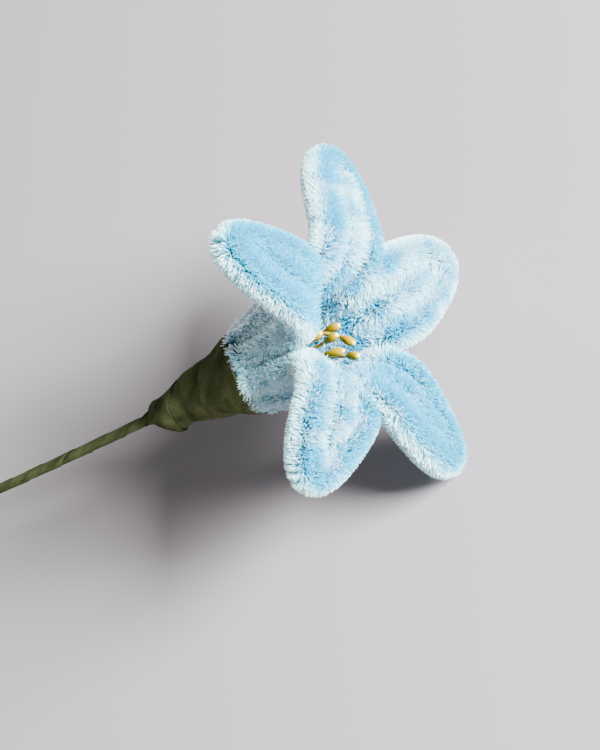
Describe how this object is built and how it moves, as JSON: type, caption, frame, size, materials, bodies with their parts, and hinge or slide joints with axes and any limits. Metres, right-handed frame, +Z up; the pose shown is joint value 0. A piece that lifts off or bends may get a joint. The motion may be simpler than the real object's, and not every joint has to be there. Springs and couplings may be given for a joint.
{
  "type": "chenille lily stem",
  "caption": "Handmade pipe-cleaner lily on a long taped wire stem, laid on its side: flared looped petals round a cluster of glossy stamens, bound by a cone of floral tape.",
  "frame": {"origin": "on the surface that the flower lies on, under the centre of its bounding box", "axes": "+X along the stem towards the flower's mouth, +Z up from the surface, +Y across"},
  "size_m": [0.309, 0.0616, 0.0514],
  "materials": {
    "chenille_pile": "soft light blue polyester pile with paler tips",
    "core_wire": "thin twisted galvanised wire",
    "stem_wire": "bare annealed floral wire, cut square",
    "floral_tape": "matte waxed crepe tape, dark olive green",
    "stamen_thread": "stiffened cotton thread",
    "stamen_head": "glossy yellow lacquer over a moulded drop"
  },
  "bodies": {
    "root": {"stem_wire": "stem_wire", "stem_tape": "floral_tape", "calyx_tape": "floral_tape", "petal_1_pile": "chenille_pile", "petal_1_wire": "core_wire", "petal_1_filler_pile": "chenille_pile", "petal_1_filler_wire": "core_wire", "petal_2_pile": "chenille_pile", "petal_2_wire": "core_wire", "petal_2_filler_pile": "chenille_pile", "petal_2_filler_wire": "core_wire", "petal_3_pile": "chenille_pile", "petal_3_wire": "core_wire", "petal_3_filler_pile": "chenille_pile", "petal_3_filler_wire": "core_wire", "petal_4_pile": "chenille_pile", "petal_4_wire": "core_wire", "petal_4_filler_pile": "chenille_pile", "petal_4_filler_wire": "core_wire", "petal_5_pile": "chenille_pile", "petal_5_wire": "core_wire", "petal_5_filler_pile": "chenille_pile", "petal_5_filler_wire": "core_wire", "stamen_thread_1": "stamen_thread", "stamen_thread_2": "stamen_thread", "stamen_thread_3": "stamen_thread", "stamen_head_1": "stamen_head", "stamen_head_2": "stamen_head", "stamen_head_3": "stamen_head", "stamen_head_4": "stamen_head", "stamen_head_5": "stamen_head", "stamen_head_6": "stamen_head"}
  },
  "joints": []
}
